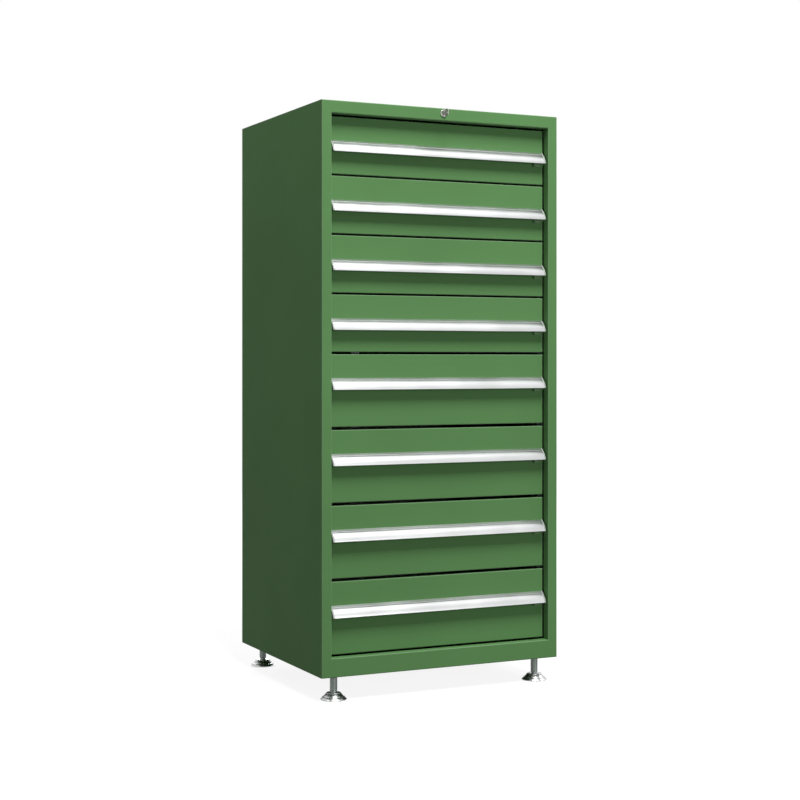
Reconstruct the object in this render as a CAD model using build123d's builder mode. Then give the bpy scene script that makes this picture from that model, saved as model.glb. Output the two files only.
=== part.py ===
from build123d import *
from math import pi, radians, sin
import os

# Tool cabinet: eight drawers in a welded case of folded sheet steel, on four levelling feet.
# Millimetres. X runs to the right, Y from the front to the back, Z up.
# The origin is on the floor, under the middle of the whole box with the key in its lock.

# Case, outside sizes and sheet
CASE_WIDTH = 708.0
CASE_DEPTH = 600.0
FRONT_Y = -286.0
SHEET = 1.5
FOLD_RADIUS = 2.5

# Front frame round the drawers
STILE = 28.0
TOP_RAIL = 33.0
BOTTOM_RAIL = 50.0
FRAME_RETURN = 25.0
REAR_FLANGE = 20.0

# Drawer fronts from the top down, and the gaps between them
UPPER_DRAWERS = 4
LOWER_DRAWERS = 4
UPPER_FRONT = 150.0
LOWER_FRONT = 190.0
END_GAP = 5.0
UPPER_GAP = 5.2
STEP_GAP = 6.5
LOWER_GAP = 8.3
SIDE_GAP = 3.5

# Folded front panel of a drawer
FRONT_SETBACK = 25.0
FRONT_DEPTH = 20.0
FRONT_RADIUS = 2.0
FRONT_RETURN = 20.0

# Drawer tray
TRAY_SHEET = 1.2
TRAY_LIFT = 12.0
TRAY_CLEARANCE = 18.0
RIM_WIDTH = 10.0
RIM_LIP = 8.0
REAR_LIP = 8.0

# Telescopic slide: a channel on the posts, a middle beam and a channel on the tray
SLIDE_WIDTH = 19.0
RAIL_SHEET = 1.5
RAIL_SETBACK = 48.0
RAIL_END_INSET = 7.0
RAIL_HEIGHT = 46.0
RAIL_FLANGE = 9.0
RAIL_LIFT = 30.0
RAIL_PLAY = 0.4
WEB_PLAY = 0.5

# Slotted posts that carry the slides
POST_WIDTH = 30.0
POST_SHEET = 2.0
FRONT_POST_INSET = 12.0
REAR_POST_INSET = 8.0
POST_SLOT_LENGTH = 30.0
POST_SLOT_WIDTH = 6.0
POST_SLOT_PITCH = 150.0

# Handle: a full-width extrusion whose lip points down, with an end cap at each end
HANDLE_DROP = 93.0
HANDLE_HEIGHT = 31.0
HANDLE_REACH = 22.0
HANDLE_END_GAP = 2.0
HANDLE_CAP = 4.0
HANDLE_FOOT = 17.0
HANDLE_WALL = 2.2
HANDLE_NECK = 3.1
HOLLOW_DROP = 8.5
STRIP_REACH = 6.5
STRIP_DROP = 4.8
GROOVE_WIDTH = 2.7
GROOVE_DEPTH = 1.4
FACE_REACH = 8.6
FACE_BULGE = 2.0
HOLLOW_BULGE = 2.7
LIP_WIDTH = 2.6
LIP_EDGE = 1.2

# Safety catch under the right end of the handle
CATCH_END_GAP = 1.5
CATCH_WIDTH = 24.0
CATCH_DROP = 8.0
CATCH_HEIGHT = 19.0
CATCH_PLATE = 2.5
CATCH_GRIP = 9.0
CATCH_PLAY = 0.3
CATCH_TRAVEL = 8.0
CATCH_STEM = 7.0
TONGUE_HEIGHT = 11.0
TONGUE_THICKNESS = 3.0
TONGUE_SHORT_OF_JAMB = 1.5

# Lock in the top rail, with its key
LOCK_DROP = 13.0
LOCK_HEAD_RADIUS = 10.0
LOCK_HEAD_DEPTH = 3.0
LOCK_HEAD_BEVEL = 1.2
LOCK_BARREL_RADIUS = 8.5
LOCK_BARREL_LENGTH = 22.0
LOCK_NUT_PLAY = 0.5
LOCK_NUT_DEPTH = 4.0
PLUG_RADIUS = 6.0
PLUG_PLAY = 0.1
PLUG_PROUD = 0.6
KEYWAY_WIDTH = 2.4
KEYWAY_HEIGHT = 8.0
KEYWAY_DEPTH = 18.0
KEY_REACH = 28.0
KEY_THICKNESS = 2.0
KEY_BLADE_HEIGHT = 7.0
KEY_BLADE_LENGTH = 16.0
KEY_BOW_HEIGHT = 19.0
KEY_BOW_LENGTH = 20.0
KEY_BOW_RADIUS = 6.0
KEY_HOLE_RADIUS = 2.8

# Lock rod to the back, crank and lock bar
ROD_RADIUS = 4.0
CRANK_RADIUS = 6.0
CRANK_ARM_RADIUS = 5.0
CRANK_ARM_THICKNESS = 3.0
CRANK_PIN_RADIUS = 2.0
CRANK_PIN_PLAY = 0.6
CRANK_SWING = 90.0
ROD_PLAY = 0.1
HANGER_WIDTH = 30.0
HANGER_TO_BAR = 25.0
HANGER_SHEET = 2.0
HANGER_FOOT = 15.0
HANGER_END = 12.0
BAR_TO_BACK = 19.0
TRAY_TO_BAR = 26.0
BAR_WIDTH = 26.0
BAR_THICKNESS = 3.0
BAR_END = 3.0
BAR_FOOT_CLEARANCE = 12.0
GUIDE_HEIGHT = 20.0
GUIDE_SHEET = 2.0
GUIDE_PLAY = 0.5

# Hooks on the lock bar and keepers on the trays
HOOK_WIDTH = 16.0
HOOK_THICKNESS = 3.0
HOOK_TIP_GAP = 2.0
HOOK_PLAY = 1.5
KEEPER_WIDTH = 30.0
KEEPER_SHEET = 2.0
KEEPER_REACH = 20.0
KEEPER_LIP = 8.0
KEEPER_FOOT = 12.0
KEEPER_HEIGHT = 70.0

# Levelling feet
FOOT_HEIGHT = 65.0
FOOT_SIDE_INSET = 50.0
FOOT_END_INSET = 40.0
CUP_RADIUS = 35.0
CUP_HEIGHT = 19.0
CUP_RIM = 3.0
CUP_STEP_RADIUS = 29.0
CUP_STEP_HEIGHT = 8.5
CUP_STEP = 1.5
CUP_TOP_RADIUS = 18.5
STEM_RADIUS = 10.0
STEM_HEIGHT = 90.0
STEM_PLAY = 0.1
NECK_RADIUS = 7.0
NECK_PLAY = 0.3
SOCKET_FLOOR = 5.0
SHOULDER_GAP = 1.5
NUT_WIDTH = 30.0
NUT_HEIGHT = 16.0

# Margin by which a cutting solid runs past what it cuts
CUT_MARGIN = 10.0

# Places that follow from the sizes
front_heights = [UPPER_FRONT] * UPPER_DRAWERS + [LOWER_FRONT] * LOWER_DRAWERS
gaps_below = (
    [UPPER_GAP] * (UPPER_DRAWERS - 1) + [STEP_GAP] + [LOWER_GAP] * (LOWER_DRAWERS - 1) + [END_GAP]
)
opening_height = END_GAP + sum(front_heights) + sum(gaps_below)
opening_width = CASE_WIDTH - 2 * STILE
opening_half = opening_width / 2
case_height = BOTTOM_RAIL + opening_height + TOP_RAIL
case_bottom = FOOT_HEIGHT
case_top = case_bottom + case_height
opening_bottom = case_bottom + BOTTOM_RAIL
opening_top = case_top - TOP_RAIL
case_middle = case_bottom + case_height / 2
middle_y = FRONT_Y + CASE_DEPTH / 2
back_y = FRONT_Y + CASE_DEPTH
back_panel_y = back_y - 2 * SHEET
wall_inside = CASE_WIDTH / 2 - SHEET

bar_y = back_y - BAR_TO_BACK
front_width = opening_width - 2 * SIDE_GAP
front_y = FRONT_Y + FRONT_SETBACK
tray_front_y = front_y + FRONT_DEPTH
tray_back_y = bar_y - TRAY_TO_BAR
tray_half = opening_half - SLIDE_WIDTH
rail_y = FRONT_Y + RAIL_SETBACK
rail_length = tray_back_y - RAIL_END_INSET - rail_y

lock_z = case_top - LOCK_DROP
lock_nut_radius = LOCK_DROP - SHEET - LOCK_NUT_PLAY
crank_drop = CRANK_RADIUS * sin(radians(CRANK_SWING / 2))
bar_travel = 2 * crank_drop

os.makedirs("parts", exist_ok=True)


def save(piece, name):
    """Label a finished piece and write it under its name."""
    piece.part.label = name
    export_step(piece.part, f"parts/{name}.step")


def save_together(pieces, name):
    """Write pieces that are fixed to one another under one name, each as its own solid."""
    group = Compound([solid for piece in pieces for solid in piece.solids()])
    group.label = name
    export_step(group, f"parts/{name}.step")


def at_depth(y):
    """The upright plane at a depth: its x is X, its y is Z, and it faces the front."""
    return Plane.XZ.offset(-y)


def folded_sheet(points, thickness):
    """Face of a sheet folded along the points, its thickness to the left of their direction."""
    with BuildLine() as fold:
        Polyline(*points)
        offset(amount=thickness, side=Side.LEFT, kind=Kind.INTERSECTION)
    make_face(fold.edges())


# Case shell: a box of sheet with a framed front and a flanged back, later cut into its panels
with BuildPart() as case_shell:
    with Locations((0, middle_y, case_middle)):
        Box(CASE_WIDTH, CASE_DEPTH, case_height)
    fillet(case_shell.edges() - case_shell.edges().filter_by(Axis.Y), FOLD_RADIUS)
    with Locations((0, middle_y, case_middle)):
        Box(2 * wall_inside, CASE_DEPTH - 2 * SHEET, case_height - 2 * SHEET, mode=Mode.SUBTRACT)
    with BuildSketch(at_depth(back_y + CUT_MARGIN)):
        with Locations((0, case_middle)):
            Rectangle(CASE_WIDTH - 2 * REAR_FLANGE, case_height - 2 * REAR_FLANGE)
    extrude(amount=CUT_MARGIN + CASE_DEPTH / 2, mode=Mode.SUBTRACT)
    with BuildSketch(at_depth(FRONT_Y + SHEET)):
        with Locations((0, (opening_bottom + opening_top) / 2)):
            Rectangle(opening_width + 2 * SHEET, opening_height + 2 * SHEET)
    extrude(amount=SHEET - FRAME_RETURN)
    with BuildSketch(at_depth(FRONT_Y - CUT_MARGIN)):
        with Locations((0, (opening_bottom + opening_top) / 2)):
            Rectangle(opening_width, opening_height)
    extrude(amount=-CUT_MARGIN - FRAME_RETURN, mode=Mode.SUBTRACT)
    frame_face = case_shell.faces().sort_by(Axis.Y)[0]
    fillet(frame_face.inner_wires()[0].edges(), FOLD_RADIUS)


def keep_between(low, high):
    """Keep what lies between two corners in the front view, right through the depth."""
    with BuildSketch(at_depth(back_y + CUT_MARGIN)) as outline:
        with Locations(low):
            Rectangle(high[0] - low[0], high[1] - low[1], align=Align.MIN)
    extrude(outline.sketch, amount=CASE_DEPTH + 2 * CUT_MARGIN, mode=Mode.INTERSECT)


# Side panels: each with its stile at the front and its other edges folded inwards
with BuildPart() as left_side_panel:
    add(case_shell.part)
    keep_between((-CASE_WIDTH, case_bottom - CUT_MARGIN), (-opening_half, case_top + CUT_MARGIN))
save(left_side_panel, "left_side_panel")

with BuildPart() as right_side_panel:
    mirror(left_side_panel.part, about=Plane.YZ)
save(right_side_panel, "right_side_panel")

# Top panel with its front rail and the hole for the lock
with BuildPart() as top_panel:
    add(case_shell.part)
    keep_between((-opening_half, case_middle), (opening_half, case_top + CUT_MARGIN))
    with BuildSketch(at_depth(FRONT_Y - CUT_MARGIN)):
        with Locations((0, lock_z)):
            Circle(LOCK_BARREL_RADIUS + PLUG_PLAY)
    extrude(amount=-CUT_MARGIN - 2 * SHEET, mode=Mode.SUBTRACT)
save(top_panel, "top_panel")

# Base panel with its front rail and a welded nut over each foot
foot_places = [
    (side * (CASE_WIDTH / 2 - FOOT_SIDE_INSET), middle_y + end * (CASE_DEPTH / 2 - FOOT_END_INSET))
    for end in (-1, 1)
    for side in (-1, 1)
]
with BuildPart() as base_panel:
    add(case_shell.part)
    keep_between((-opening_half, case_bottom - CUT_MARGIN), (opening_half, case_middle))
    with BuildSketch(Plane.XY.offset(case_bottom + SHEET)):
        with Locations(*foot_places):
            RegularPolygon(NUT_WIDTH / 2, 6, major_radius=False)
    extrude(amount=NUT_HEIGHT)
    with BuildSketch(Plane.XY.offset(case_bottom - CUT_MARGIN)):
        with Locations(*foot_places):
            Circle(STEM_RADIUS + STEM_PLAY)
    extrude(amount=2 * CUT_MARGIN + NUT_HEIGHT, mode=Mode.SUBTRACT)
save(base_panel, "base_panel")


def drawer_bottom(number):
    """Height of the lower edge of a drawer's front, drawer 1 being the top one."""
    above = sum(front_heights[:number]) + sum(gaps_below[: number - 1])
    return opening_top - END_GAP - above


def tray_top(number):
    """Height of a tray's rim."""
    return drawer_bottom(number) + front_heights[number - 1] - TRAY_CLEARANCE


def rail_level(number):
    """Height of the middle of a drawer's slides."""
    return drawer_bottom(number) + TRAY_LIFT + RAIL_LIFT


def keeper_level(number):
    """Height of the lower edge of the lip on a tray's keeper."""
    return drawer_bottom(number) + KEEPER_HEIGHT


drawers = range(1, len(front_heights) + 1)

# Back panel, with three guides that hold the lock bar to it
guide_levels = [(keeper_level(first) + keeper_level(first + 1)) / 2 for first in (1, 4, 7)]
with BuildPart() as back_panel:
    with Locations((0, back_panel_y, case_middle)):
        Box(
            2 * wall_inside,
            SHEET,
            case_height - 2 * SHEET,
            align=(Align.CENTER, Align.MIN, Align.CENTER),
        )
    with BuildSketch(*[Plane.XY.offset(level) for level in guide_levels]):
        channel_half = BAR_WIDTH / 2 + GUIDE_PLAY
        strap_y = bar_y - GUIDE_PLAY - GUIDE_SHEET
        rest_y = bar_y + BAR_THICKNESS + GUIDE_PLAY
        with Locations((0, strap_y)):
            Rectangle(
                2 * channel_half + 2 * GUIDE_SHEET,
                back_panel_y - strap_y,
                align=(Align.CENTER, Align.MIN),
            )
        with Locations((0, bar_y - GUIDE_PLAY)):
            Rectangle(
                2 * channel_half,
                BAR_THICKNESS + 2 * GUIDE_PLAY,
                align=(Align.CENTER, Align.MIN),
                mode=Mode.SUBTRACT,
            )
        with Locations((0, rest_y + GUIDE_SHEET)):
            Rectangle(
                2 * channel_half,
                back_panel_y - rest_y - GUIDE_SHEET,
                align=(Align.CENTER, Align.MIN),
                mode=Mode.SUBTRACT,
            )
    extrude(amount=GUIDE_HEIGHT / 2, both=True)
save(back_panel, "back_panel")

# Posts: channels open to the side walls, with a row of slots in the web
post_height = case_height - 2 * SHEET
slot_count = int(post_height // POST_SLOT_PITCH)
rear_post_y = rail_y + rail_length - REAR_POST_INSET - POST_WIDTH
post_places = [rail_y + FRONT_POST_INSET, rear_post_y]
with BuildPart() as rail_posts:
    with BuildSketch(Plane.XY.offset(case_bottom + SHEET)):
        for post_y in post_places:
            folded_sheet(
                [
                    (wall_inside, post_y + POST_WIDTH),
                    (opening_half, post_y + POST_WIDTH),
                    (opening_half, post_y),
                    (wall_inside, post_y),
                ],
                POST_SHEET,
            )
    extrude(amount=post_height)
    with BuildSketch(Plane.YZ.offset(opening_half - CUT_MARGIN)):
        for post_y in post_places:
            with Locations((post_y + POST_WIDTH / 2, case_middle)):
                with GridLocations(0, POST_SLOT_PITCH, 1, slot_count):
                    Rectangle(POST_SLOT_WIDTH, POST_SLOT_LENGTH)
    extrude(amount=CUT_MARGIN + POST_SHEET, mode=Mode.SUBTRACT)
    mirror(about=Plane.YZ)
save(rail_posts, "rail_posts")


def slide_channel(web, tip, level):
    """Section of a slide's channel: a web at X = web, flanges from it to X = tip, round a level."""
    reach = RAIL_HEIGHT / 2
    points = [(tip, level + reach), (web, level + reach), (web, level - reach), (tip, level - reach)]
    folded_sheet(points if tip > web else points[::-1], RAIL_SHEET)


# Outer channels of the slides, fixed to the posts, each with a stop across its rear end
with BuildPart() as cabinet_rails:
    with BuildSketch(at_depth(rail_y)):
        for number in drawers:
            slide_channel(opening_half, opening_half - RAIL_FLANGE, rail_level(number))
    extrude(amount=-rail_length - RAIL_PLAY)
    with BuildSketch(at_depth(rail_y + rail_length + RAIL_PLAY)):
        with Locations(*[(opening_half - RAIL_FLANGE / 2, rail_level(number)) for number in drawers]):
            Rectangle(RAIL_FLANGE, RAIL_HEIGHT)
    extrude(amount=-RAIL_SHEET)
    mirror(about=Plane.YZ)
save(cabinet_rails, "cabinet_rails")

# Lock barrel: a chamfered head on the rail's face, a body through it and a nut behind.
# With it goes the hanger under the top panel, in which the lock rod turns.
hanger_y = bar_y - HANGER_TO_BAR
with BuildPart() as lock_barrel:
    with BuildSketch(at_depth(FRONT_Y + LOCK_BARREL_LENGTH)):
        with Locations((0, lock_z)):
            Circle(LOCK_BARREL_RADIUS)
    extrude(amount=LOCK_BARREL_LENGTH)
    with BuildSketch(at_depth(FRONT_Y)):
        with Locations((0, lock_z)):
            Circle(LOCK_HEAD_RADIUS)
    extrude(amount=LOCK_HEAD_DEPTH)
    chamfer(lock_barrel.faces().sort_by(Axis.Y)[0].edges(), LOCK_HEAD_BEVEL)
    with BuildSketch(at_depth(FRONT_Y + SHEET)):
        with Locations((0, lock_z)):
            RegularPolygon(lock_nut_radius, 6, major_radius=False)
    extrude(amount=-LOCK_NUT_DEPTH)
    with BuildSketch(at_depth(FRONT_Y - LOCK_HEAD_DEPTH)):
        with Locations((0, lock_z)):
            Circle(PLUG_RADIUS + PLUG_PLAY)
    extrude(amount=-LOCK_HEAD_DEPTH - LOCK_BARREL_LENGTH, mode=Mode.SUBTRACT)
    with BuildSketch(Plane.YZ):
        folded_sheet(
            [
                (hanger_y + HANGER_FOOT, case_top - SHEET),
                (hanger_y, case_top - SHEET),
                (hanger_y, lock_z - HANGER_END),
            ],
            HANGER_SHEET,
        )
    extrude(amount=HANGER_WIDTH / 2, both=True)
    with BuildSketch(at_depth(hanger_y)):
        with Locations((0, lock_z)):
            Circle(ROD_RADIUS + ROD_PLAY)
    extrude(amount=-HANGER_SHEET, mode=Mode.SUBTRACT)
save(lock_barrel, "lock_barrel_and_rod_hanger")

# Lock plug, turned by the key, with its keyway
plug_front_y = FRONT_Y - LOCK_HEAD_DEPTH - PLUG_PROUD
plug_back_y = FRONT_Y + LOCK_BARREL_LENGTH + PLUG_PROUD
with BuildPart() as lock_plug:
    with BuildSketch(at_depth(plug_back_y)):
        with Locations((0, lock_z)):
            Circle(PLUG_RADIUS)
    extrude(amount=plug_back_y - plug_front_y)
    with BuildSketch(at_depth(plug_front_y)):
        with Locations((0, lock_z)):
            Rectangle(KEYWAY_WIDTH, KEYWAY_HEIGHT)
    extrude(amount=-KEYWAY_DEPTH, mode=Mode.SUBTRACT)
save(lock_plug, "lock_plug")

# Key: a blade in the keyway and a flat bow with a ring hole
bow_back_y = FRONT_Y - KEY_REACH + KEY_BOW_LENGTH
with BuildPart() as lock_key:
    with BuildSketch(Plane.YZ):
        with Locations((FRONT_Y - KEY_REACH + KEY_BOW_LENGTH / 2, lock_z)):
            RectangleRounded(KEY_BOW_LENGTH, KEY_BOW_HEIGHT, KEY_BOW_RADIUS)
        with Locations((plug_front_y + KEY_BLADE_LENGTH, lock_z)):
            Rectangle(
                plug_front_y + KEY_BLADE_LENGTH - bow_back_y + KEY_BOW_RADIUS,
                KEY_BLADE_HEIGHT,
                align=(Align.MAX, Align.CENTER),
            )
        with Locations((FRONT_Y - KEY_REACH + KEY_BOW_RADIUS, lock_z)):
            Circle(KEY_HOLE_RADIUS, mode=Mode.SUBTRACT)
    extrude(amount=KEY_THICKNESS / 2, both=True)
save(lock_key, "lock_key")

# Lock rod: round bar from the plug to the back, with a crank arm and pin at its end
arm_y = bar_y - GUIDE_PLAY - CRANK_ARM_THICKNESS - CRANK_PIN_PLAY
pin_end_y = bar_y + BAR_THICKNESS + CRANK_PIN_RADIUS
crank_pin = (-crank_drop, lock_z - crank_drop)
with BuildPart() as lock_rod:
    with BuildSketch(at_depth(plug_back_y)):
        with Locations((0, lock_z)):
            Circle(ROD_RADIUS)
    extrude(amount=plug_back_y - arm_y)
    with BuildSketch(at_depth(arm_y)):
        with BuildLine():
            Line((0, lock_z), crank_pin)
            offset(amount=CRANK_ARM_RADIUS, kind=Kind.ARC)
        make_face()
    extrude(amount=-CRANK_ARM_THICKNESS)
    with BuildSketch(at_depth(arm_y + CRANK_ARM_THICKNESS)):
        with Locations(crank_pin):
            Circle(CRANK_PIN_RADIUS)
    extrude(amount=arm_y + CRANK_ARM_THICKNESS - pin_end_y)
save(lock_rod, "lock_rod")

# Lock bar: a flat bar with a cross slot for the crank pin, and a hook for each drawer on it
slot_width = CRANK_RADIUS - crank_drop + 2 * (CRANK_PIN_RADIUS + CRANK_PIN_PLAY)
slot_height = 2 * (CRANK_PIN_RADIUS + CRANK_PIN_PLAY)
bar_top = crank_pin[1] + slot_height / 2 + BAR_END
bar_bottom = opening_bottom + BAR_FOOT_CLEARANCE
hook_y = tray_back_y + KEEPER_REACH - KEEPER_SHEET - HOOK_TIP_GAP - HOOK_THICKNESS
with BuildPart() as lock_bar:
    with BuildSketch(at_depth(bar_y)):
        with Locations((0, bar_top)):
            Rectangle(BAR_WIDTH, bar_top - bar_bottom, align=(Align.CENTER, Align.MAX))
        with Locations((-(CRANK_RADIUS + crank_drop) / 2, crank_pin[1])):
            Rectangle(slot_width, slot_height, mode=Mode.SUBTRACT)
    extrude(amount=-BAR_THICKNESS)
with BuildPart() as lock_hooks:
    for number in drawers:
        tip_top = keeper_level(number) - HOOK_PLAY
        finger_top = keeper_level(number) - bar_travel - HOOK_PLAY
        with BuildSketch(Plane.YZ):
            Polygon(
                (bar_y, finger_top - HOOK_THICKNESS),
                (bar_y, finger_top),
                (hook_y + HOOK_THICKNESS, finger_top),
                (hook_y + HOOK_THICKNESS, tip_top),
                (hook_y, tip_top),
                (hook_y, finger_top - HOOK_THICKNESS),
                align=None,
            )
        extrude(amount=HOOK_WIDTH / 2, both=True)
save_together([lock_bar, lock_hooks], "lock_bar")

# Handles and catches, measured from the drawer front outwards and from the handle's lip upwards
handle_half = front_width / 2 - HANDLE_END_GAP
strip_rise = HANDLE_HEIGHT - STRIP_DROP
face_rise = strip_rise - GROOVE_WIDTH
foot_rise = HANDLE_HEIGHT - HANDLE_FOOT
catch_x = handle_half - HANDLE_CAP - CATCH_END_GAP - CATCH_WIDTH / 2
stem_right = catch_x + CATCH_STEM / 2
tongue_y = front_y + SHEET + CATCH_PLAY
rim_half = tray_half + RIM_WIDTH - TRAY_SHEET
beam_width = SLIDE_WIDTH - 2 * (RAIL_SHEET + WEB_PLAY)
beam_height = RAIL_HEIGHT - 2 * (RAIL_SHEET + RAIL_PLAY)

for number in drawers:
    front_height = front_heights[number - 1]
    front_bottom = drawer_bottom(number)
    front_middle = front_bottom + front_height / 2
    lip_z = front_bottom + front_height - HANDLE_DROP
    catch_z = lip_z - CATCH_DROP + CATCH_HEIGHT / 2
    tray_floor = front_bottom + TRAY_LIFT
    rim_z = tray_top(number)
    rail_z = rail_level(number)

    # Front: a folded pan with returns at the back and slots for the catch
    with BuildPart() as drawer_front:
        with BuildSketch(at_depth(tray_front_y)):
            with Locations((0, front_middle)):
                Rectangle(front_width, front_height)
        extrude(amount=FRONT_DEPTH)
        fillet(drawer_front.faces().sort_by(Axis.Y)[0].edges(), FRONT_RADIUS)
        with BuildSketch(at_depth(tray_front_y - SHEET)):
            with Locations((0, front_middle)):
                Rectangle(front_width - 2 * SHEET, front_height - 2 * SHEET)
        extrude(amount=FRONT_DEPTH - 2 * SHEET, mode=Mode.SUBTRACT)
        with BuildSketch(at_depth(tray_front_y)):
            with Locations((0, front_middle)):
                Rectangle(front_width - 2 * FRONT_RETURN, front_height - 2 * FRONT_RETURN)
        extrude(amount=2 * SHEET, mode=Mode.SUBTRACT)
        with BuildSketch(at_depth(front_y)):
            with Locations((stem_right + CATCH_PLAY, catch_z)):
                Rectangle(
                    CATCH_STEM + CATCH_TRAVEL + 2 * CATCH_PLAY,
                    CATCH_STEM + 2 * CATCH_PLAY,
                    align=(Align.MAX, Align.CENTER),
                )
        extrude(amount=-SHEET, mode=Mode.SUBTRACT)
        with BuildSketch(Plane.YZ.offset(front_width / 2)):
            with Locations((front_y + SHEET, catch_z)):
                Rectangle(
                    TONGUE_THICKNESS + 2 * CATCH_PLAY,
                    TONGUE_HEIGHT + 2 * CATCH_PLAY,
                    align=(Align.MIN, Align.CENTER),
                )
        extrude(amount=-SHEET, mode=Mode.SUBTRACT)
    save(drawer_front, f"drawer_{number}_front")

    # Tray: sheet folded up at the sides into rims, with end walls
    with BuildPart() as tray:
        with BuildSketch(at_depth(tray_front_y)):
            folded_sheet(
                [
                    (-rim_half, rim_z - RIM_LIP),
                    (-rim_half, rim_z - TRAY_SHEET),
                    (-tray_half, rim_z - TRAY_SHEET),
                    (-tray_half, tray_floor),
                    (tray_half, tray_floor),
                    (tray_half, rim_z - TRAY_SHEET),
                    (rim_half, rim_z - TRAY_SHEET),
                    (rim_half, rim_z - RIM_LIP),
                ],
                TRAY_SHEET,
            )
        extrude(amount=tray_front_y - tray_back_y)
        with BuildSketch(at_depth(tray_front_y), at_depth(tray_back_y - TRAY_SHEET)):
            with Locations((0, tray_floor)):
                Rectangle(2 * tray_half, rim_z - tray_floor, align=(Align.CENTER, Align.MIN))
        extrude(amount=-TRAY_SHEET)
        with BuildSketch(at_depth(tray_back_y)):
            with Locations((0, rim_z)):
                Rectangle(2 * tray_half, TRAY_SHEET, align=(Align.CENTER, Align.MAX))
        extrude(amount=-REAR_LIP)

    # Inner channels of the slides, riveted to the tray's sides
    with BuildPart() as tray_rails:
        with BuildSketch(at_depth(rail_y)):
            slide_channel(tray_half, tray_half + RAIL_FLANGE, rail_z)
            slide_channel(-tray_half, -tray_half - RAIL_FLANGE, rail_z)
        extrude(amount=-rail_length)

    # Keeper: a strip folded in a step behind the tray, which the hook on the lock bar holds
    keeper_z = keeper_level(number)
    keeper_y = tray_back_y + KEEPER_REACH - KEEPER_SHEET
    with BuildPart() as keeper:
        with BuildSketch(Plane.YZ):
            folded_sheet(
                [
                    (tray_back_y, keeper_z + KEEPER_LIP + KEEPER_FOOT),
                    (tray_back_y, keeper_z + KEEPER_LIP),
                    (keeper_y, keeper_z + KEEPER_LIP),
                    (keeper_y, keeper_z),
                ],
                KEEPER_SHEET,
            )
        extrude(amount=KEEPER_WIDTH / 2, both=True)
    save_together([tray, tray_rails, keeper], f"drawer_{number}_tray")

    # Middle beams of the two slides: an H section that runs inside both channels
    with BuildPart() as middle_rails:
        with BuildSketch(at_depth(rail_y)):
            with Locations((opening_half - SLIDE_WIDTH / 2, rail_z)):
                Rectangle(beam_width, beam_height)
                Rectangle(beam_width, beam_height - 2 * RAIL_SHEET, mode=Mode.SUBTRACT)
                Rectangle(RAIL_SHEET, beam_height)
        extrude(amount=-rail_length)
        mirror(about=Plane.YZ)
    save(middle_rails, f"drawer_{number}_middle_rails")

    # Handle: strip, groove and bowed face over a hollow for the fingers, closed at both ends
    section = Plane(origin=(0, front_y, lip_z), x_dir=(0, -1, 0), z_dir=(-1, 0, 0))
    with BuildPart() as handle:
        with BuildSketch(section):
            with BuildLine():
                SagittaArc((FACE_REACH, face_rise), (HANDLE_REACH, LIP_EDGE), FACE_BULGE)
                Polyline(
                    (HANDLE_REACH, LIP_EDGE),
                    (HANDLE_REACH - LIP_EDGE, 0),
                    (HANDLE_REACH - LIP_WIDTH, 0),
                )
                SagittaArc(
                    (HANDLE_REACH - LIP_WIDTH, 0),
                    (FACE_REACH - GROOVE_DEPTH, face_rise - HANDLE_NECK),
                    -HOLLOW_BULGE,
                )
                Polyline(
                    (FACE_REACH - GROOVE_DEPTH, face_rise - HANDLE_NECK),
                    (HANDLE_WALL, HANDLE_HEIGHT - HOLLOW_DROP),
                    (HANDLE_WALL, foot_rise),
                    (0, foot_rise),
                    (0, HANDLE_HEIGHT),
                    (STRIP_REACH, strip_rise),
                    (STRIP_REACH - GROOVE_DEPTH, strip_rise - GROOVE_WIDTH / 2),
                    (FACE_REACH, face_rise),
                )
            make_face()
        extrude(amount=handle_half, both=True)
        with BuildSketch(section.offset(-handle_half), section.offset(handle_half - HANDLE_CAP)):
            with BuildLine():
                SagittaArc((FACE_REACH, face_rise), (HANDLE_REACH, LIP_EDGE), FACE_BULGE)
                Polyline(
                    (HANDLE_REACH, LIP_EDGE),
                    (HANDLE_REACH - LIP_EDGE, 0),
                    (HANDLE_REACH - LIP_WIDTH, 0),
                    (0, foot_rise),
                    (0, HANDLE_HEIGHT),
                    (STRIP_REACH, strip_rise),
                    (FACE_REACH, face_rise),
                )
            make_face()
        extrude(amount=HANDLE_CAP)
    save(handle, f"drawer_{number}_handle")

    # Catch: a finger plate under the handle, with a tongue behind the drawer front
    with BuildPart() as catch:
        with BuildSketch(at_depth(front_y - CATCH_PLAY)):
            with Locations((catch_x, catch_z)):
                Rectangle(CATCH_WIDTH, CATCH_HEIGHT)
        extrude(amount=CATCH_PLATE)
        with BuildSketch(at_depth(front_y - CATCH_PLAY)):
            with Locations((catch_x - CATCH_WIDTH / 2, catch_z)):
                Rectangle(CATCH_PLATE, CATCH_HEIGHT, align=(Align.MIN, Align.CENTER))
        extrude(amount=CATCH_GRIP)
        with BuildSketch(at_depth(tongue_y)):
            with Locations((catch_x, catch_z)):
                Rectangle(CATCH_STEM, CATCH_STEM)
        extrude(amount=tongue_y - front_y + CATCH_PLAY)
        with BuildSketch(at_depth(tongue_y)):
            with Locations((opening_half - TONGUE_SHORT_OF_JAMB, catch_z)):
                Rectangle(
                    opening_half - TONGUE_SHORT_OF_JAMB - catch_x + CATCH_STEM / 2,
                    TONGUE_HEIGHT,
                    align=(Align.MAX, Align.CENTER),
                )
        extrude(amount=-TONGUE_THICKNESS)
    save(catch, f"drawer_{number}_latch")

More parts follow.
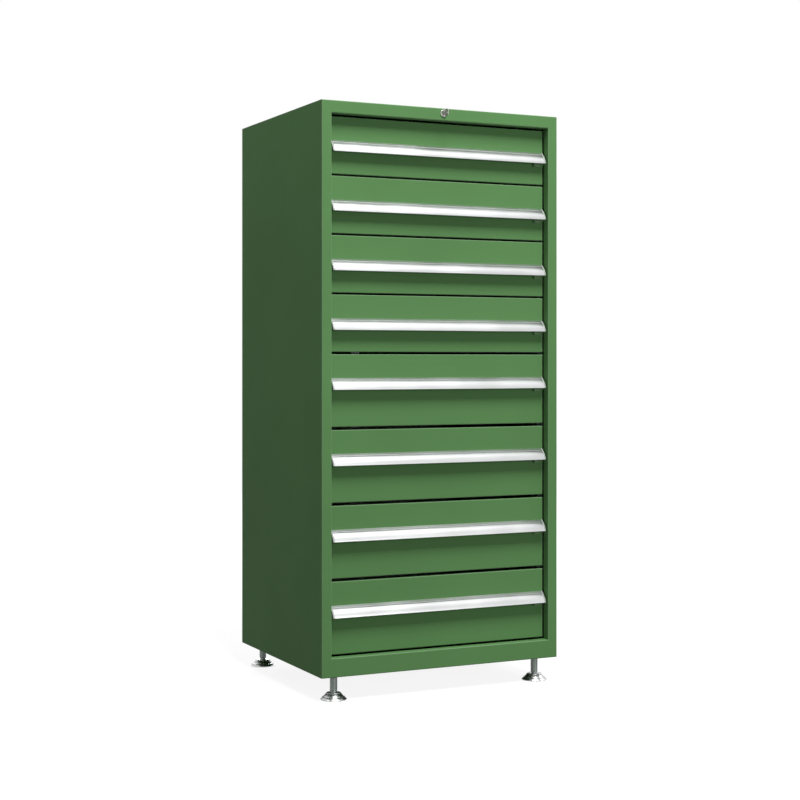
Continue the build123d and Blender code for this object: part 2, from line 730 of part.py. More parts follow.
# Levelling feet: a turned cup, and a threaded stem that turns in the cup's socket
foot_names = ["front_left", "front_right", "rear_left", "rear_right"]
shoulder_z = CUP_HEIGHT + SHOULDER_GAP
for place, name in zip(foot_places, foot_names):
    upright = Plane(origin=(*place, 0), x_dir=(1, 0, 0), z_dir=(0, -1, 0))

    with BuildPart() as cup:
        with BuildSketch(upright):
            Polygon(
                (0, 0),
                (CUP_RADIUS, 0),
                (CUP_RADIUS, CUP_RIM),
                (CUP_STEP_RADIUS, CUP_STEP_HEIGHT),
                (CUP_STEP_RADIUS - CUP_STEP, CUP_STEP_HEIGHT),
                (CUP_TOP_RADIUS, CUP_HEIGHT),
                (NECK_RADIUS + NECK_PLAY, CUP_HEIGHT),
                (NECK_RADIUS + NECK_PLAY, SOCKET_FLOOR),
                (0, SOCKET_FLOOR),
                align=None,
            )
        revolve(axis=Axis((*place, 0), (0, 0, 1)))
    save(cup, f"{name}_foot_cup")

    with BuildPart() as stem:
        with BuildSketch(upright):
            Polygon(
                (0, SOCKET_FLOOR),
                (NECK_RADIUS, SOCKET_FLOOR),
                (NECK_RADIUS, shoulder_z),
                (STEM_RADIUS, shoulder_z),
                (STEM_RADIUS, STEM_HEIGHT),
                (0, STEM_HEIGHT),
                align=None,
            )
        revolve(axis=Axis((*place, 0), (0, 0, 1)))
    save(stem, f"{name}_foot_stem")
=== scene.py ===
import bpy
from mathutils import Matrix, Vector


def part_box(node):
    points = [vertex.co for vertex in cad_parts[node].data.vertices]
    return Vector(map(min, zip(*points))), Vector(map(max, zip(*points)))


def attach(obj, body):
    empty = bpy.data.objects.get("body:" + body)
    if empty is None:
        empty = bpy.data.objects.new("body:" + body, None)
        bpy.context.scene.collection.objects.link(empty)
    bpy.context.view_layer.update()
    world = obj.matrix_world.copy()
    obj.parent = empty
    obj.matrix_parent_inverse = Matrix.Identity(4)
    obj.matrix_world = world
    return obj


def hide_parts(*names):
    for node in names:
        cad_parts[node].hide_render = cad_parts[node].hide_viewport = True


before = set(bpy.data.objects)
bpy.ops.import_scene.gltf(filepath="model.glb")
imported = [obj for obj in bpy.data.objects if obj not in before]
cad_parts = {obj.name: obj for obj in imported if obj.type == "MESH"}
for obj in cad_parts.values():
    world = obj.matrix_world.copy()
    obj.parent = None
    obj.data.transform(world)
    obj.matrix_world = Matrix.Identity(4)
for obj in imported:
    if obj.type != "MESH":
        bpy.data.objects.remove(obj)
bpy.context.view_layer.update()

import math
import bmesh
import bpy
import numpy as np

# The room: a level camera to the left of the cabinet, its lens shifted down so that uprights stay
# upright, a plain white floor, a large soft lamp high above the front, and weaker ones round it.
scene = bpy.context.scene
scene.view_settings.view_transform = "Standard"

lens = bpy.data.cameras.new("camera")
lens.lens = 72.05
lens.sensor_width = 36.0
lens.shift_y = -0.0506
lens.clip_end = 60.0
camera = bpy.data.objects.new("camera", lens)
camera.location = (-1.9676, -4.1046, 0.8913)
camera.rotation_euler = (math.radians(90.0), 0.0, math.radians(-25.7))
scene.collection.objects.link(camera)
scene.camera = camera


def soft_lamp(name, place, aim, width, height, watts):
    """A rectangular lamp at a place, facing the point that it is aimed at."""
    lamp = bpy.data.lights.new(name, "AREA")
    lamp.shape = "RECTANGLE"
    lamp.size = width
    lamp.size_y = height
    lamp.energy = watts
    holder = bpy.data.objects.new(name, lamp)
    x, y, z = (a - p for a, p in zip(aim, place))
    holder.location = place
    holder.rotation_euler = (math.atan2(math.hypot(x, y), -z), 0.0, math.atan2(-x, y))
    scene.collection.objects.link(holder)


soft_lamp("lamp_high_above", (-0.1, -2.8, 5.6), (0.0, -0.3, 0.9), 1.8, 1.9, 385.0)
soft_lamp("lamp_in_front", (0.8, -5.0, 1.3), (0.0, -0.3, 0.9), 1.6, 1.6, 60.0)
soft_lamp("lamp_to_the_left", (-2.0, -0.2, 2.7), (-0.4, 0.0, 1.0), 0.7, 0.7, 8.0)
soft_lamp("lamp_to_the_right", (3.2, -0.6, 2.7), (0.4, 0.0, 0.8), 1.2, 1.2, 30.0)
soft_lamp("strip_over_the_handles", (0.9, -1.1, 3.2), (0.9, -0.3, 1.3), 2.4, 0.5, 2.0)
soft_lamp("lamp_behind", (1.6, 4.6, 2.6), (0.1, 0.3, 0.8), 1.8, 1.8, 130.0)


def combined(nodes, links, operation, first, second=None):
    """One number worked out from one or two others."""
    maths = nodes.new("ShaderNodeMath")
    maths.operation = operation
    links.new(first, maths.inputs[0])
    if second is not None:
        links.new(second, maths.inputs[1])
    return maths.outputs[0]


def between(nodes, links, factor, low, high, start=0.3, end=0.7):
    """A value that runs from low to high as the factor runs from start to end."""
    span = nodes.new("ShaderNodeMapRange")
    span.inputs["From Min"].default_value = start
    span.inputs["From Max"].default_value = end
    span.inputs["To Min"].default_value = low
    span.inputs["To Max"].default_value = high
    links.new(factor, span.inputs["Value"])
    return span.outputs["Result"]


def shows_background(nodes, links):
    """1 for the rays of the camera and those that metal or glass sends on, 0 for all others."""
    path = nodes.new("ShaderNodeLightPath").outputs
    sent_on = combined(nodes, links, "MAXIMUM", path["Is Glossy Ray"], path["Is Transmission Ray"])
    return combined(nodes, links, "MAXIMUM", path["Is Camera Ray"], sent_on)


room_light, white = 0.14, (1.0, 1.0, 1.0, 1.0)
world = bpy.data.worlds.new("white_room")
world.use_nodes = True
scene.world = world
nodes, links = world.node_tree.nodes, world.node_tree.links
background = nodes["Background"].inputs
background["Color"].default_value = white
strength = between(nodes, links, shows_background(nodes, links), room_light, 1.0, 0.0, 1.0)
links.new(strength, background["Strength"])


def mesh_piece(name, points, faces):
    """An object at the origin whose mesh has these points, in metres, and these faces."""
    mesh = bpy.data.meshes.new(name)
    mesh.from_pydata(np.asarray(points, float).reshape(-1, 3), [], [list(face) for face in faces])
    mesh.validate()
    piece = bpy.data.objects.new(name, mesh)
    scene.collection.objects.link(piece)
    return piece


# The floor glows for the camera, a little less near the cabinet so that its shadow shows there.
floor_half = 6.0
floor_grey, floor_roughness = (0.18, 0.18, 0.18, 1.0), 0.9
near, far = 0.8, 2.6
glow_near, glow_far = 0.89, 1.0
corners = np.array([(-1, -1, 0), (1, -1, 0), (1, 1, 0), (-1, 1, 0)]) * floor_half
floor = mesh_piece("floor", corners, [(0, 1, 2, 3)])
floor_paint = bpy.data.materials.new("white_floor")
floor_paint.use_nodes = True
nodes, links = floor_paint.node_tree.nodes, floor_paint.node_tree.links
paint = nodes["Principled BSDF"].inputs
paint["Base Color"].default_value = floor_grey
paint["Roughness"].default_value = floor_roughness
paint["Specular IOR Level"].default_value = 0.0
paint["Emission Color"].default_value = white
distance = nodes.new("ShaderNodeVectorMath")
distance.operation = "LENGTH"
links.new(nodes.new("ShaderNodeTexCoord").outputs["Object"], distance.inputs[0])
paler = between(nodes, links, distance.outputs["Value"], glow_near, glow_far, near, far)
glow = combined(nodes, links, "MULTIPLY", shows_background(nodes, links), paler)
links.new(glow, paint["Emission Strength"])
floor.data.materials.append(floor_paint)


# The case: folded and welded sheet steel with a baked green powder coat, which has a fine orange
# peel. The drawer fronts are folded pans in the same coat, hung on the trays behind them.
def new_material(name, roughness, metallic=0.0):
    """A material with its shader, its node tree's parts and the piece's own coordinates."""
    material = bpy.data.materials.new(name)
    material.use_nodes = True
    nodes, links = material.node_tree.nodes, material.node_tree.links
    shader = nodes["Principled BSDF"]
    shader.inputs["Roughness"].default_value = roughness
    shader.inputs["Metallic"].default_value = metallic
    place = nodes.new("ShaderNodeTexCoord").outputs["Object"]
    return material, nodes, links, shader, place


def clouds(nodes, links, place, per_metre, detail, stretch=(1.0, 1.0, 1.0)):
    """Cloudy noise with so many clouds to the metre, drawn out along an axis by a small stretch."""
    mapping = nodes.new("ShaderNodeMapping")
    mapping.inputs["Scale"].default_value = [per_metre * share for share in stretch]
    noise = nodes.new("ShaderNodeTexNoise")
    noise.inputs["Scale"].default_value = 1.0
    noise.inputs["Detail"].default_value = detail
    links.new(place, mapping.inputs["Vector"])
    links.new(mapping.outputs["Vector"], noise.inputs["Vector"])
    return noise.outputs["Fac"]


def two_colours(nodes, links, factor, dark, light, target):
    """Lead to an input a colour that runs from dark to light, as the factor runs up its middle."""
    ramp = nodes.new("ShaderNodeValToRGB")
    first, last = ramp.color_ramp.elements
    first.position, first.color = 0.3, (*dark, 1.0)
    last.position, last.color = 0.7, (*light, 1.0)
    links.new(factor, ramp.inputs["Fac"])
    links.new(ramp.outputs["Color"], target)


def raised(nodes, links, height, depth, shader):
    """Let a height factor raise the surface by so many metres."""
    bump = nodes.new("ShaderNodeBump")
    bump.inputs["Distance"].default_value = depth
    links.new(height, bump.inputs["Height"])
    links.new(bump.outputs["Normal"], shader.inputs["Normal"])


def on_folds(nodes, links):
    """1 on a rounded fold, 0 on flat sheet: 1 less the largest part of the normal, times 4."""
    size = nodes.new("ShaderNodeVectorMath")
    size.operation = "ABSOLUTE"
    links.new(nodes.new("ShaderNodeTexCoord").outputs["Normal"], size.inputs[0])
    parts = nodes.new("ShaderNodeSeparateXYZ")
    links.new(size.outputs["Vector"], parts.inputs["Vector"])
    largest = parts.outputs["X"]
    for other in ("Y", "Z"):
        largest = combined(nodes, links, "MAXIMUM", largest, parts.outputs[other])
    return between(nodes, links, largest, 0.0, 1.0, 1.0, 0.75)


def powder_coat(name, dark, light):
    """Baked powder coat: a colour that drifts slightly over half a metre, with a painted highlight
    that makes it paler on the rounded folds, and an orange peel."""
    material, nodes, links, shader, place = new_material(name, 0.5)
    shader.inputs["Specular IOR Level"].default_value = 0.02
    drift = clouds(nodes, links, place, 2.2, 3.0)
    # Painted highlight: the rounded folds get a paler colour, standing in for the light they catch.
    fold_highlight = nodes.new("ShaderNodeMixRGB")
    fold_highlight.inputs["Color2"].default_value = (*[0.75 * share + 0.10 for share in light], 1.0)
    links.new(on_folds(nodes, links), fold_highlight.inputs["Fac"])
    links.new(fold_highlight.outputs["Color"], shader.inputs["Base Color"])
    two_colours(nodes, links, drift, dark, light, fold_highlight.inputs["Color1"])
    peel = clouds(nodes, links, place, 420.0, 3.0)
    raised(nodes, links, peel, 0.00005, shader)
    sheen = between(nodes, links, clouds(nodes, links, place, 25.0, 2.0), 0.48, 0.52)
    links.new(sheen, shader.inputs["Roughness"])
    return material


def give_finish(node, material):
    """Put a material on a carried-over node in the place of its plain one."""
    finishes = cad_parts[node].data.materials
    finishes.clear()
    finishes.append(material)


green_coat = powder_coat("green_powder_coat", (0.088, 0.198, 0.072), (0.099, 0.222, 0.081))
drawers = range(1, 9)
case_nodes = ["left_side_panel", "right_side_panel", "top_panel", "base_panel", "back_panel"]
for node in case_nodes + [f"drawer_{number}_front" for number in drawers]:
    give_finish(node, green_coat)


# Inside: trays of light grey coated sheet on telescopic slides of zinc-plated strip, which hang
# on slotted zinc-plated posts. The lock's rod, bar and hooks are plated in the same way.
def zinc_plate(name):
    """Bright zinc: pale spangles about a centimetre wide in satin metal with fine rolling lines."""
    material, nodes, links, shader, place = new_material(name, 0.38, metallic=1.0)
    spangle = clouds(nodes, links, place, spangles_per_metre, 1.0)
    two_colours(nodes, links, spangle, *zinc_colours, shader.inputs["Base Color"])
    lines = clouds(nodes, links, place, 500.0, 2.0, (1.0, 0.02, 1.0))
    raised(nodes, links, lines, 0.00004, shader)
    links.new(between(nodes, links, spangle, 0.30, 0.46), shader.inputs["Roughness"])
    return material


def beyond(nodes, links, value, limit, falls=False):
    """1 where a value is above a limit, or below it where falls is set, and 0 elsewhere."""
    step = nodes.new("ShaderNodeMath")
    step.operation = "LESS_THAN" if falls else "GREATER_THAN"
    step.inputs[1].default_value = limit
    links.new(value, step.inputs[0])
    return step.outputs[0]


def tray_finish(name, side, rim, rear):
    """Grey coat on the tray, and bright zinc where it isn't tray: on the channels, which lie beyond
    a distance from the middle and under the rims, and on the keeper, which lies behind."""
    material = powder_coat(name, (0.47, 0.49, 0.48), (0.53, 0.55, 0.54))
    nodes, links = material.node_tree.nodes, material.node_tree.links
    shader = nodes["Principled BSDF"]
    parts = nodes.new("ShaderNodeSeparateXYZ")
    place = nodes.new("ShaderNodeTexCoord").outputs["Object"]
    links.new(place, parts.inputs["Vector"])
    outside = beyond(nodes, links, combined(nodes, links, "ABSOLUTE", parts.outputs["X"]), side)
    under_rim = beyond(nodes, links, parts.outputs["Z"], rim, falls=True)
    channel = combined(nodes, links, "MULTIPLY", outside, under_rim)
    behind = beyond(nodes, links, parts.outputs["Y"], rear)
    plated_part = combined(nodes, links, "MAXIMUM", channel, behind)
    coat = shader.inputs["Base Color"].links[0].from_socket
    both = nodes.new("ShaderNodeMixRGB")
    links.new(plated_part, both.inputs["Fac"])
    links.new(coat, both.inputs["Color1"])
    spangle = clouds(nodes, links, place, spangles_per_metre, 1.0)
    two_colours(nodes, links, spangle, *zinc_colours, both.inputs["Color2"])
    links.new(both.outputs["Color"], shader.inputs["Base Color"])
    links.new(plated_part, shader.inputs["Metallic"])
    return material


zinc_colours = ((0.52, 0.54, 0.56), (0.66, 0.68, 0.70))
spangles_per_metre = 110.0
zinc = zinc_plate("zinc_plated_steel")
zinc_nodes = ["rail_posts", "cabinet_rails", "lock_rod", "lock_bar"]
for node in zinc_nodes + [f"drawer_{number}_middle_rails" for number in drawers]:
    give_finish(node, zinc)

mm = 0.001
channel_width, rim_height, keeper_depth, margin = 10.0 * mm, 10.0 * mm, 20.0 * mm, 0.2 * mm
for number in drawers:
    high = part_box(f"drawer_{number}_tray")[1]
    side, rear = high.x - (channel_width - margin), high.y - (keeper_depth - margin)
    coat = tray_finish(f"light_grey_tray_{number}", side, high.z - rim_height, rear)
    give_finish(f"drawer_{number}_tray", coat)


# Rivets: flat-domed steel rivets inside each tray, four through each side into the slide's channel
# and four through the front wall into the folded front.
def turned(profile, segments, centre=(0.0, 0.0, 0.0), axis="z"):
    """A profile of (radius, place along the axis) turned round an axis: across it, each point lies
    at its radius times the cosine and the sine of the turn. A radius of 0 is a pole."""
    profile = np.asarray(profile, float)
    angle = np.linspace(0.0, 2.0 * math.pi, segments, endpoint=False)
    rings = len(profile)
    points = np.empty((rings, segments, 3))
    points[:, :, 0] = profile[:, :1] * np.cos(angle)
    across, along = (1, 2) if axis == "z" else (2, 1)
    points[:, :, across] = profile[:, :1] * np.sin(angle)
    points[:, :, along] = profile[:, 1:]
    ring, step = np.meshgrid(np.arange(rings - 1), np.arange(segments), indexing="ij")
    here, following = ring * segments + step, ring * segments + (step + 1) % segments
    quads = np.stack((here, following, following + segments, here + segments), axis=-1)
    quads = quads.reshape(-1, 4) if axis == "z" else quads.reshape(-1, 4)[:, ::-1]
    return points.reshape(-1, 3) + centre, quads


def close_up(piece):
    """Merge points that lie together, such as those of a pole, and face everything outwards."""
    work = bmesh.new()
    work.from_mesh(piece.data)
    bmesh.ops.remove_doubles(work, verts=work.verts, dist=1e-6)
    bmesh.ops.dissolve_degenerate(work, edges=work.edges, dist=1e-7)
    bmesh.ops.recalc_face_normals(work, faces=work.faces)
    work.to_mesh(piece.data)
    work.free()


def shade(piece, sharp_degrees=35.0):
    """Smooth shading that stays crisp along edges sharper than this."""
    piece.data.shade_smooth()
    piece.data.set_sharp_from_angle(angle=math.radians(sharp_degrees))


rivet_radius, rivet_rim, rivet_dome = 4.0 * mm, 0.3 * mm, 1.0 * mm
tray_sheet, slide_middle, from_ends = 1.2 * mm, 21.1 * mm, 60.0 * mm
dome_turn = np.linspace(0.0, math.pi / 2, 4)[:-1]
dome_curve = (rivet_radius * np.cos(dome_turn), rivet_rim + rivet_dome * np.sin(dome_turn))
dome = np.vstack((
    [(0.0, 0.0), (rivet_radius, 0.0)],
    np.stack(dome_curve, axis=1),
    [(0.0, rivet_rim + rivet_dome)],
))
dome_points, dome_faces = turned(dome, 12)
to_the_rear = np.array(((1.0, 0.0, 0.0), (0.0, 0.0, 1.0), (0.0, -1.0, 0.0)))
for number in drawers:
    low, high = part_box(f"drawer_{number}_tray")
    wall = high.x - channel_width - tray_sheet
    slide_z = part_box(f"drawer_{number}_middle_rails")[0].z + slide_middle
    spots, turns = [], []
    for side in (-1.0, 1.0):
        for y in np.linspace(low.y + from_ends, high.y - from_ends, 4):
            spots.append((side * wall, y, slide_z))
            turns.append(np.array(((0.0, 0.0, -side), (0.0, 1.0, 0.0), (side, 0.0, 0.0))))
    for x in np.linspace(-0.75, 0.75, 4) * wall:
        spots.append((x, low.y + tray_sheet, slide_z))
        turns.append(to_the_rear)
    rivet_points = np.einsum("rij,pj->rpi", np.array(turns), dome_points) + np.array(spots)[:, None]
    rivet_faces = np.arange(len(spots))[:, None, None] * len(dome_points) + dome_faces[None]
    rivets = mesh_piece(f"drawer_{number}_rivets", rivet_points, rivet_faces.reshape(-1, 4))
    close_up(rivets)
    rivets.data.materials.append(zinc)
    shade(rivets, 50.0)
    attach(rivets, f"drawer_{number}")


# Handles: a full-width extrusion of satin anodised aluminium, screwed on from behind. A flat strip
# slopes away from the drawer, then a groove, a bowed face and a lip to pull by, closed by caps.
def arc(start, end, bulge, count):
    """Points from start to end on a curve that stands off the chord by 4 t (1 - t) times bulge."""
    start, end = np.array(start, float), np.array(end, float)
    run = end - start
    side = np.array((run[1], -run[0])) / np.hypot(*run)
    share = np.linspace(0.0, 1.0, count)[:, None]
    return start + share * run + 4.0 * share * (1.0 - share) * bulge * side


def carried(outline, stations):
    """An outline (out towards the front, up) carried along X, with flat faces at its ends."""
    outline, stations = np.asarray(outline), np.asarray(stations)
    count, rings = len(outline), len(stations)
    points = np.empty((rings, count, 3))
    points[:, :, 0] = stations[:, None]
    points[:, :, 1] = -outline[None, :, 0]
    points[:, :, 2] = outline[None, :, 1]
    ring, corner = np.meshgrid(np.arange(rings - 1), np.arange(count), indexing="ij")
    here, following = ring * count + corner, ring * count + (corner + 1) % count
    quads = np.stack((here, here + count, following + count, following), axis=-1).reshape(-1, 4)
    ends = [tuple(range(count)), tuple(range(count * rings - 1, count * (rings - 1) - 1, -1))]
    return points.reshape(-1, 3), [tuple(quad) for quad in quads] + ends


def rounded_edges(piece, radius):
    """Round the sharp edges of a piece by a bevel."""
    bevel = piece.modifiers.new("rounded_edges", "BEVEL")
    bevel.width = radius
    bevel.segments = 2
    bevel.limit_method = "ANGLE"
    bevel.angle_limit = math.radians(35.0)
    bevel.harden_normals = True


def anodised_aluminium():
    """Satin anodised aluminium: pale, with very fine lines drawn along the bar by the die."""
    material, nodes, links, shader, place = new_material("anodised_aluminium", 0.34, metallic=1.0)
    dark, light = (0.50, 0.51, 0.51), (0.58, 0.59, 0.59)
    drawn = clouds(nodes, links, place, 900.0, 3.0, (0.004, 1.0, 1.0))
    two_colours(nodes, links, drawn, dark, light, shader.inputs["Base Color"])
    raised(nodes, links, drawn, 0.00003, shader)
    sheen = between(nodes, links, clouds(nodes, links, place, 9.0, 2.0), 0.30, 0.38)
    links.new(sheen, shader.inputs["Roughness"])
    return material


def cap_plastic():
    """Moulded caps in a pale grey plastic with a faint matt grain."""
    material, nodes, links, shader, place = new_material("pale_cap_plastic", 0.5)
    dark, light = (0.27, 0.30, 0.27), (0.32, 0.35, 0.32)
    grain = clouds(nodes, links, place, 700.0, 2.0)
    two_colours(nodes, links, grain, dark, light, shader.inputs["Base Color"])
    raised(nodes, links, grain, 0.00003, shader)
    return material


strip_top, strip_end = (0.0, 31.0), (6.5, 26.2)
face_top, face_end = (8.6, 23.5), (22.0, 1.2)
hollow_top, hollow_end = (7.2, 20.4), (19.4, 0.0)
cap, bar_rounding, cap_rounding = 4.0 * mm, 0.25 * mm, 0.5 * mm
bowed_face = arc(face_top, face_end, -2.0, 17)
bar_outline = np.vstack((
    [strip_top, strip_end, (5.1, 24.85)],
    bowed_face,
    [(20.8, 0.0)],
    arc(hollow_end, hollow_top, 2.7, 13),
    [(2.2, 22.5), (2.2, 14.0), (0.0, 14.0)],
)) * mm
cap_outline = np.vstack((
    [strip_top, strip_end],
    bowed_face,
    [(20.8, 0.0), hollow_end, (0.0, 14.0)],
)) * mm
aluminium, caps = anodised_aluminium(), cap_plastic()
for number in drawers:
    low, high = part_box(f"drawer_{number}_handle")
    bar_points, bar_faces = carried(bar_outline, np.linspace(low.x + cap, high.x - cap, 3))
    bar = mesh_piece(f"drawer_{number}_handle_bar", bar_points + (0.0, high.y, low.z), bar_faces)
    bar.data.materials.append(aluminium)
    shade(bar)
    rounded_edges(bar, bar_rounding)
    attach(bar, f"drawer_{number}")
    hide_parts(f"drawer_{number}_handle")
    for side, start in (("left", low.x), ("right", high.x - cap)):
        cap_points, cap_faces = carried(cap_outline, (start, start + cap))
        cap_points += (0.0, high.y, low.z)
        end_cap = mesh_piece(f"drawer_{number}_{side}_cap", cap_points, cap_faces)
        end_cap.data.materials.append(caps)
        shade(end_cap)
        rounded_edges(end_cap, cap_rounding)
        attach(end_cap, f"drawer_{number}")


# Catches: a small moulded plate under the right end of each handle, with a ribbed tab for a finger,
# which pushes it to the left against a spring. Its tongue reaches behind the pan to the jamb.
def moulded_plastic():
    """Dark green moulded plastic, slightly shiny, with a fine spark-eroded grain."""
    material, nodes, links, shader, place = new_material("dark_green_plastic", 0.42)
    dark, light = (0.066, 0.150, 0.054), (0.078, 0.176, 0.064)
    grain = clouds(nodes, links, place, 1100.0, 2.0)
    two_colours(nodes, links, grain, dark, light, shader.inputs["Base Color"])
    raised(nodes, links, grain, 0.00005, shader)
    return material


def blocks(corners):
    """Points and faces of rectangular blocks, each from its lowest to its highest corner."""
    low, high = np.array(corners, float).swapaxes(0, 1)
    pick = np.array([(i, j, k) for i in (0, 1) for j in (0, 1) for k in (0, 1)])
    points = low[:, None, :] + pick[None] * (high - low)[:, None, :]
    sides = np.array([
        (0, 1, 3, 2), (4, 6, 7, 5), (0, 4, 5, 1), (2, 3, 7, 6), (0, 2, 6, 4), (1, 5, 7, 3),
    ])
    faces = np.arange(len(low))[:, None, None] * 8 + sides[None]
    return points.reshape(-1, 3), faces.reshape(-1, 4)


def finger_plate(width, thickness, reach, ribs, steps=8):
    """Outline seen from above, as (out, across): a flat plate with a tab at its left end, whose
    inner face rises and falls by a cosine wave for each rib and whose tip is a half circle."""
    radius = thickness / 2
    corner = np.linspace(0.0, math.pi / 2, steps)
    inner = 1.5 * thickness
    fillet = np.stack((inner - radius * np.sin(corner), inner - radius * np.cos(corner)), axis=1)
    share = np.linspace(0.0, 1.0, 1 + steps * ribs)[1:]
    start, stop = inner, reach - radius
    wave = 0.15 * thickness * (1.0 - np.cos(2.0 * math.pi * ribs * share))
    tab = np.stack((start + share * (stop - start), thickness + wave), axis=1)
    tip_turn = np.linspace(0.0, math.pi, 2 * steps)[1:]
    tip = np.stack((stop + radius * np.sin(tip_turn), radius + radius * np.cos(tip_turn)), axis=1)
    edge = np.array(((0.0, 0.0), (0.0, width), (thickness, width)))
    return np.vstack((edge, fillet[::-1], tab, tip))


catch_plastic = moulded_plastic()
plate_width, plate_sheet, plate_ribs = 24.0 * mm, 2.5 * mm, 3
front_of_pan, behind_face, overlap = 0.3 * mm, 1.8 * mm, 1.0 * mm
stem_inset, stem_width, stem_half, tongue_half = 8.5 * mm, 7.0 * mm, 3.5 * mm, 5.5 * mm
catch_rounding = 0.4 * mm
for number in drawers:
    low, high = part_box(f"drawer_{number}_latch")
    plate_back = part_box(f"drawer_{number}_front")[0].y - front_of_pan
    tongue_front = plate_back + front_of_pan + behind_face
    outline = finger_plate(plate_width, plate_sheet, plate_back - low.y, plate_ribs)
    plate_points, plate_faces = carried(outline, (low.z, high.z))
    plate_points = plate_points[:, ::-1] + (low.x, plate_back, 0.0)
    left, middle = low.x + stem_inset, (low.z + high.z) / 2
    stem = (
        (left, plate_back - overlap, middle - stem_half),
        (left + stem_width, tongue_front + overlap, middle + stem_half),
    )
    tongue = ((left, tongue_front, middle - tongue_half), (high.x, high.y, middle + tongue_half))
    stem_points, stem_faces = blocks((stem, tongue))
    catch = mesh_piece(
        f"drawer_{number}_catch",
        np.vstack((plate_points, stem_points)),
        plate_faces + [tuple(face) for face in stem_faces + len(plate_points)],
    )
    close_up(catch)
    catch.data.materials.append(catch_plastic)
    shade(catch)
    rounded_edges(catch, catch_rounding)
    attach(catch, f"drawer_{number}_latch")
    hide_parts(f"drawer_{number}_latch")


# Lock: a nickel-plated barrel through the top rail, held by a nut behind it, with a turning plug
# and a flat key. Its rod runs to the back in a hanger folded from zinc-plated strip.
def plated(name, colour, roughness, streaks):
    """Bright plating: colour and shine vary a little, over turning marks, so many to the metre."""
    material, nodes, links, shader, place = new_material(name, roughness, metallic=1.0)
    patches = clouds(nodes, links, place, 180.0, 3.0)
    dark = [0.9 * share for share in colour]
    two_colours(nodes, links, patches, dark, colour, shader.inputs["Base Color"])
    shine = between(nodes, links, patches, 0.8 * roughness, 1.3 * roughness)
    links.new(shine, shader.inputs["Roughness"])
    marks = clouds(nodes, links, place, streaks, 2.0, (0.1, 0.1, 1.0))
    raised(nodes, links, marks, 0.00001, shader)
    return material


nickel = plated("nickel_plate", (0.50, 0.50, 0.47), 0.14, 2500.0)
key_nickel = plated("dull_nickel_key", (0.36, 0.35, 0.33), 0.34, 1800.0)
low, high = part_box("lock_plug")
lock_centre = np.array(((low.x + high.x) / 2, 0.0, (low.z + high.z) / 2))
rail_face, rail_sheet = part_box("top_panel")[0].y, 1.5 * mm
head_turn = np.linspace(0.0, math.pi / 2, 7)
head_profile = np.vstack((
    [(6.1, 22.0), (8.5, 22.0), (8.5, 0.0), (10.0, 0.0)],
    np.stack((8.8 + 1.2 * np.cos(head_turn), -1.8 - 1.2 * np.sin(head_turn)), axis=1),
    [(7.4, -3.0), (6.9, -2.6), (6.1, -2.6), (6.1, 22.0)],
)) * mm
barrel_points, barrel_faces = turned(head_profile, 64, lock_centre, "y")
barrel = mesh_piece("lock_barrel", barrel_points + (0.0, rail_face, 0.0), barrel_faces)


def hexagon_nut(across, bore, thickness, chamfer, steps=24):
    """A nut along Y: its radius is half the width over the cosine of the angle to the next flat's
    middle, cut back by the chamfer at both faces, and its inner wall is round."""
    angle = np.linspace(0.0, 2.0 * math.pi, 6 * steps, endpoint=False)
    sixth = math.pi / 3.0
    outside = across / 2.0 / np.cos((angle + sixth / 2.0) % sixth - sixth / 2.0)
    face = np.minimum(outside, across / 2.0 * 1.02)
    inside = np.full_like(angle, bore / 2.0)
    radius = np.stack((inside, face, outside, outside, face, inside, inside))
    depth = np.array([0.0, 0.0, chamfer, thickness - chamfer, thickness, thickness, 0.0])
    depth = np.broadcast_to(depth[:, None], radius.shape)
    points = np.stack((radius * np.cos(angle), depth, radius * np.sin(angle)), axis=-1)
    _, quads = turned(np.zeros((len(radius), 2)), len(angle), axis="y")
    return points.reshape(-1, 3), quads


def plate_with_hole(corners, thickness, hole, steps=48):
    """A plate in the X-Z plane round a hole at the origin: along each angle a ray runs from the
    hole's edge to the nearest side of the rectangle, and rays through its corners are added."""
    (left, low), (right, high) = corners
    to_corners = np.arctan2([low, low, high, high], [left, right, right, left])
    even = np.linspace(-math.pi, math.pi, steps, endpoint=False)
    angle = np.unique(np.concatenate((even, to_corners)))
    across, up = np.cos(angle), np.sin(angle)
    with np.errstate(divide="ignore"):
        sides = np.where(across > 0.0, right, left) / across
        ends = np.where(up > 0.0, high, low) / up
    reach = np.minimum(np.abs(sides), np.abs(ends))
    radius = np.stack((np.full_like(angle, hole), reach, reach, np.full_like(angle, hole)))
    radius = np.vstack((radius, radius[:1]))
    depth = np.broadcast_to(np.array([0.0, 0.0, thickness, thickness, 0.0])[:, None], radius.shape)
    points = np.stack((radius * across, depth, radius * up), axis=-1)
    _, quads = turned(np.zeros((len(radius), 2)), len(angle), axis="y")
    return points.reshape(-1, 3), quads


nut_across, nut_bore, nut_height, nut_chamfer = 22.0 * mm, 17.2 * mm, 4.0 * mm, 0.6 * mm
nut_points, nut_faces = hexagon_nut(nut_across, nut_bore, nut_height, nut_chamfer)
nut_points += lock_centre + (0.0, rail_face + rail_sheet, 0.0)
lock_nut = mesh_piece("lock_nut", nut_points, nut_faces)

